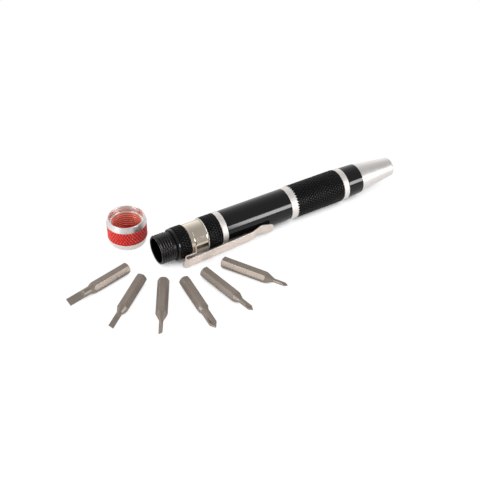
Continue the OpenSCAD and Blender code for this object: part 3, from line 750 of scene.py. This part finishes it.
class DRIVER_OT_nose(bpy.types.Operator):
    """Nose with its hexagon socket and the magnet at the socket's bottom"""
    bl_idname = "driver.nose"
    bl_label = "Nose"

    def execute(self, context):
        body = context.scene.pocket_driver.body
        shank_ease, base_ease, tip_ease = 0.15 * MM, 0.12 * MM, 0.6 * MM
        x0, x1, base = span("nose_cone")
        face = span("front_collar")[1]
        rear, bottom, magnet = span("bit_magnet")
        shank, flats = body.shank_radius, body.socket_flats
        # A countersink, a little wider than the hexagon's corners, leads into the socket
        sink_radius, sink_depth = 0.68 * flats, 0.4 * MM
        corners = [(x0, 0), (x0, shank), (face, shank), (face, base), (x1, body.tip_radius),
                   (x1, sink_radius)]
        outside = eased(corners, [0, shank_ease, HAIR, base_ease, tip_ease, 0], steps=8)
        # The hexagon at an angle a: half its flats over the cosine of a's distance from the nearest flat
        angle = np.linspace(0, 2 * np.pi, AROUND, endpoint=False)[:, None]
        sixth = np.pi / 3
        hexagon = flats / 2 / np.cos((angle + sixth / 2) % sixth - sixth / 2)
        flat = np.ones((AROUND, 1))
        pocket = flat * (magnet + HAIR)
        stations = np.concatenate([outside[:, 0], [x1 - sink_depth, bottom, bottom, rear, rear]])
        radii = np.concatenate([flat * outside[:, 1], hexagon, hexagon, pocket, pocket, flat * 0], 1)
        faces = grid_faces(AROUND, len(stations), False)
        make_piece("turned_nose", along_handle(stations, radii), faces,
                   finish("satin turned aluminium"), "handle", "nose_cone")
        dress("bit_magnet", "nickel plated spring steel")
        return {"FINISHED"}


class DRIVER_OT_end_cap(bpy.types.Operator):
    """End cap: bright conical rim and foot, red knurled wall with its inner thread"""
    bl_idname = "driver.end_cap"
    bl_label = "End Cap"

    def execute(self, context):
        settings = context.scene.pocket_driver
        cap = settings.cap
        low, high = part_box("end_cap")
        self.centre = (low[0] + high[0]) / 2, (low[1] + high[1]) / 2
        radius, height = (high[0] - low[0]) / 2, high[2]
        lining_wall, web, lap = 0.6 * MM, 0.5 * MM, 0.12 * MM
        rim, seat = height - cap.rim, height - cap.skirt
        top = min(rim, seat) - lap
        sunk, base = cap.bore + lining_wall, cap.floor - web
        self.rim(cap, radius, height, rim, seat, top, sunk)
        self.foot(cap, radius, sunk, base)
        self.wall(cap, settings.knurl, radius - cap.knurl_in, rim, sunk)
        self.lining(cap, settings.thread, sunk, base, top)
        return {"FINISHED"}

    def rim(self, cap, radius, height, rim, seat, top, sunk):
        """The bright rim: cone, rounded lip, tapered skirt and the thin seat over the end of the thread."""
        edge, lip_ease, skirt_ease = 0.1 * MM, 0.12 * MM, 0.08 * MM
        lip = radius - cap.rim_in
        skirt = lip - cap.lip
        corners = [(top, cap.bore), (top, sunk), (rim, sunk), (rim, radius), (height, lip), (height, skirt),
                   (seat, skirt - cap.taper), (seat, cap.bore)]
        profile = eased(corners, [0, 0, 0, edge, lip_ease, skirt_ease, edge, 0], steps=6)
        self.ring("cap_rim", profile, closed=True)

    def foot(self, cap, radius, sunk, base):
        """The bright foot: cone, rounded at the table, with a recess that holds the red cup."""
        table_ease, edge = 0.35 * MM, 0.1 * MM
        corners = [(0, 0), (0, radius - cap.foot_in), (cap.foot, radius), (cap.foot, sunk), (base, sunk),
                   (base, 0)]
        profile = eased(corners, [0, table_ease, edge, 0, 0, 0], steps=7)
        self.ring("cap_foot", profile, closed=False)

    def wall(self, cap, knurl, radius, rim, sunk):
        """The red wall: knurled outside, plain where the lining sits."""
        station, height = knurl_field(cap.foot, rim, radius, knurl)
        flat = np.ones((len(height), 2))
        heights = np.concatenate([station, [rim, cap.foot]])
        radii = np.concatenate([radius - knurl.depth * (1 - height), flat * sunk], 1)
        crest = np.concatenate([height, flat * 0], 1)
        faces = grid_faces(len(height), len(heights), True)
        make_piece("cap_wall", upright(self.centre, heights, radii), faces,
                   finish("red anodised knurled aluminium"), "cap", "end_cap", crest, CUT_SHARP)

    def lining(self, cap, thread, sunk, base, top):
        """The red cup with the thread inside, which is a little less deep than the neck's."""
        depth_share = 0.8
        inner = np.linspace(top, cap.floor, round((top - cap.floor) / thread.pitch * THREAD_ROWS) + 1)
        ridge = thread_field(inner, AROUND, thread.pitch)
        flat = np.ones((AROUND, 1))
        heights = np.concatenate([[base, base, top], inner, [cap.floor]])
        bore = cap.bore - depth_share * thread.height * ridge
        radii = np.concatenate([flat * [0, sunk, sunk], bore, flat * 0], 1)
        crest = np.concatenate([flat * [0, 0, 0], ridge, flat * 0], 1)
        faces = grid_faces(AROUND, len(heights), False)
        make_piece("cap_lining", upright(self.centre, heights, radii), faces,
                   finish("red anodised threaded aluminium"), "cap", None, crest, CUT_SHARP)

    def ring(self, name, profile, closed):
        """A turned piece of the cap from its profile of height and radius."""
        radii = np.broadcast_to(profile[:, 1], (AROUND, len(profile)))
        faces = grid_faces(AROUND, len(profile), closed)
        make_piece(name, upright(self.centre, profile[:, 0], radii), faces,
                   finish("bright turned aluminium of the cap"), "cap")


class DRIVER_OT_pocket_clip(bpy.types.Operator):
    """Pocket clip: the split band and the folded arm of one strip"""
    bl_idname = "driver.pocket_clip"
    bl_label = "Pocket Clip"

    def execute(self, context):
        clip = context.scene.pocket_driver.clip
        rear, front = span("rear_collar")[1] + clip.band_gap, span("clip_collar")[0] - clip.band_gap
        climb = clip.leaf_radius - clip.band_radius
        step = (climb - 2 * clip.rise_bend * (1 - math.cos(clip.rise))) / math.sin(clip.rise)
        run = 2 * clip.rise_bend * math.sin(clip.rise) + step * math.cos(clip.rise)
        self.arm(clip, rear + run, step)
        self.band(clip, rear, front, run)
        return {"FINISHED"}

    def place(self, clip, station, radius, across):
        """Points from their station, their distance from the axis along the arm's own direction and their
        distance across."""
        c, s = math.cos(clip.drop), math.sin(clip.drop)
        y = AXIS_Y - radius * c + across * s
        z = AXIS_Z - radius * s - across * c
        return np.stack(np.broadcast_arrays(station, y, z), -1)

    def section(self, half, thick, ease, steps=5):
        """A rounded rectangle as offsets across and out, with a the angle round each corner: across is
        plus or minus (half - ease) plus ease cos a, out is plus or minus (thick / 2 - ease) plus ease sin a.
        A point before and after each corner, a slide away along the side, keeps the sides flat to the light.
        """
        quarter = np.repeat(np.arange(4), steps + 2)
        slide = np.tile(np.concatenate([[-0.6], np.zeros(steps), [0.6]]), 4) * ease
        bend = np.concatenate([[0], np.linspace(0, np.pi / 2, steps), [np.pi / 2]])
        a = quarter * np.pi / 2 + np.tile(bend, 4)
        side, lift = np.array([1, -1, -1, 1])[quarter], np.array([1, 1, -1, -1])[quarter]
        return (side * (half - ease) + ease * np.cos(a) - slide * np.sin(a),
                lift * (thick / 2 - ease) + ease * np.sin(a) + slide * np.cos(a))

    def widen(self, values, count=12):
        """Fill the two wide faces of each section, between its first and second and its third and fourth
        corner, with evenly spaced points."""
        a, b, c, d = np.split(values, 4, axis=1)
        t = np.arange(1, count + 1)[None] / (count + 1)
        top, under = (p[:, -1:] + t * (q[:, :1] - p[:, -1:]) for p, q in ((a, b), (c, d)))
        return np.concatenate([a, top, b, c, under, d], 1)

    def chain(self, clip, root, step):
        """Chords and turns of the arm's middle line: straight lengths, each followed by an arc of a bend
        radius through an angle, cut into short chords."""
        longest, widest = 0.35 * MM, math.radians(5)
        links = [(root, clip.rise_bend, clip.rise), (step, clip.rise_bend, -clip.rise),
                 (clip.leaf, clip.fold, np.pi + clip.slope), (clip.arm, clip.dip_bend, clip.dip),
                 (clip.dip_length, clip.touch_bend, -clip.slope - clip.dip - clip.flare),
                 (clip.flare_length, 0.0, 0.0)]
        chord, turn = [], []
        for straight, bend, angle in links:
            near = max(2, round(straight / longest))
            chord.append(np.full(near, straight / near))
            turn.append(np.zeros(near))
            if angle:
                steps = max(6, round(abs(angle) / widest))
                chord.append(np.full(steps, 2 * bend * math.sin(abs(angle) / steps / 2)))
                turn.append(np.full(steps, angle / steps))
        return np.concatenate(chord), np.concatenate(turn)

    def arm(self, clip, start, step):
        """The strip from the band's step over the fold to the flared tip. Its middle line is added up from
        the heading of each chord. The section is carried along it, square to the heading, and drawn in at
        the tip by a quarter circle. Its root starts a little inside the band and is thinner there. It is
        curved like the band, r - sqrt(r^2 - across^2), and flattens by a smooth step while it climbs."""
        root, root_rows, root_share = 0.25 * MM, 2, 0.9
        chord, turn = self.chain(clip, root, step)
        heading = np.pi + np.cumsum(turn) - turn / 2
        line = np.cumsum(np.stack([chord * np.cos(heading), -chord * np.sin(heading)], -1), 0)
        line = np.concatenate([[[0, 0]], line]) + [start + root, clip.band_radius]
        lean = np.concatenate([heading[:1], (heading[:-1] + heading[1:]) / 2, heading[-1:]])[:, None]
        gone = np.concatenate([[0], np.cumsum(chord)])[:, None]
        left, corner = gone[-1] - gone, clip.tip_corner
        half = clip.width / 2 - corner + np.sqrt(corner ** 2 - np.clip(corner - left, 0, corner) ** 2)
        thick = np.where(np.arange(len(line)) < root_rows, root_share, 1.0)[:, None] * clip.thickness
        across, out = (self.widen(v) for v in self.section(half, thick, clip.ease))
        station = line[:, :1] + out * np.sin(lean)
        t = np.clip((gone - root) / (step + 2 * clip.rise_bend * clip.rise), 0, 1)
        sag = (clip.band_radius - np.sqrt(clip.band_radius ** 2 - across ** 2)) * (1 - t * t * (3 - 2 * t))
        radius = line[:, 1:] + out * np.cos(lean) - sag
        points = self.place(clip, station, radius, across)
        self.strip("clip_arm", points, "nickel plated spring steel", "pocket_clip")

    def band(self, clip, rear, front, run):
        """The split band and its rim, which a slit parts from it at the leaf's root."""
        columns, slit_end = 181, math.radians(0.6)
        open_half = np.pi - math.asin(clip.split / 2 / clip.band_radius)
        ends = np.array([clip.slit_reach, clip.slit_reach + slit_end])
        angle = np.sort(np.concatenate([np.linspace(-open_half, open_half, columns), ends, -ends]))[:, None]
        inner = rear + run - clip.slit
        back = np.where(np.abs(angle) < clip.slit_reach + slit_end / 2, rear + run, inner)
        self.hoop("clip_rim", clip, angle, np.full_like(angle, rear), inner, 0.0)
        self.hoop("clip_band", clip, angle, back, front, clip.band_flat)

    def hoop(self, name, clip, angle, back, front, flat):
        """One ring of the band between two stations. At the angle a from the arm its radius is
        r (1 + f (1 / cos b - 1)), where b is a up to the seat's half angle s, then 2s - a down to 0,
        and f is the flat."""
        seat = math.atan(clip.width / 2 / clip.band_radius)
        across, out = self.section((front - back) / 2, clip.thickness, clip.ease)
        a = np.abs(angle)
        swell = 1 / np.cos(np.where(a < seat, a, np.clip(2 * seat - a, 0, None))) - 1
        radius = (clip.band_radius + out) * (1 + flat * swell)
        station = (front + back) / 2 + across
        points = self.place(clip, station, radius * np.cos(angle), -radius * np.sin(angle))
        self.strip(name, points, "polished nickel plated spring steel", None)

    def strip(self, name, points, kind, replaced):
        """Close the first and the last section on their middle lines, halfway between the two faces, and
        make the piece."""
        ends = [(points[k] + points[k][::-1])[None] / 2 for k in (0, -1)]
        points = np.concatenate([ends[0], points, ends[1]])
        rows, count = points.shape[:2]
        faces = grid_faces(count, rows, False)[:, ::-1]
        points = np.swapaxes(points, 0, 1).reshape(-1, 3)
        make_piece(name, points, faces, finish(kind), "clip", replaced)


class DRIVER_OT_bits(bpy.types.Operator):
    """Slotted and cross bits of tumbled tool steel"""
    bl_idname = "driver.bits"
    bl_label = "Bits"

    def execute(self, context):
        for bit in BITS:
            dress(bit, "tumbled tool steel")
        return {"FINISHED"}


class DRIVER_PT_panel(bpy.types.Panel):
    """Pieces and settings of the screwdriver"""
    bl_idname = "DRIVER_PT_panel"
    bl_label = "Pocket Screwdriver"
    bl_space_type = "VIEW_3D"
    bl_region_type = "UI"
    bl_category = "Driver"

    def draw(self, context):
        settings = context.scene.pocket_driver
        for operator in OPERATORS:
            self.layout.operator(operator.bl_idname)
        for group in DriverSettings.__annotations__:
            values = getattr(settings, group)
            box = self.layout.box()
            box.label(text=group.title())
            for name in values.__annotations__:
                box.prop(values, name)


GROUPS = (KnurlSettings, ThreadSettings, BodySettings, CapSettings, ClipSettings, FinishSettings,
          StageSettings, DriverSettings)
OPERATORS = (DRIVER_OT_stage, DRIVER_OT_core_tube, DRIVER_OT_knurled_sleeves, DRIVER_OT_smooth_sleeves,
             DRIVER_OT_nose, DRIVER_OT_end_cap, DRIVER_OT_pocket_clip, DRIVER_OT_bits)


def register():
    for cls in (*GROUPS, *OPERATORS, DRIVER_PT_panel):
        bpy.utils.register_class(cls)
    bpy.types.Scene.pocket_driver = PointerProperty(type=DriverSettings)


def unregister():
    del bpy.types.Scene.pocket_driver
    for cls in reversed((*GROUPS, *OPERATORS, DRIVER_PT_panel)):
        bpy.utils.unregister_class(cls)


def main():
    register()
    for operator in OPERATORS:
        group, name = operator.bl_idname.split(".")
        getattr(getattr(bpy.ops, group), name)()


if __name__ == "__main__":
    main()
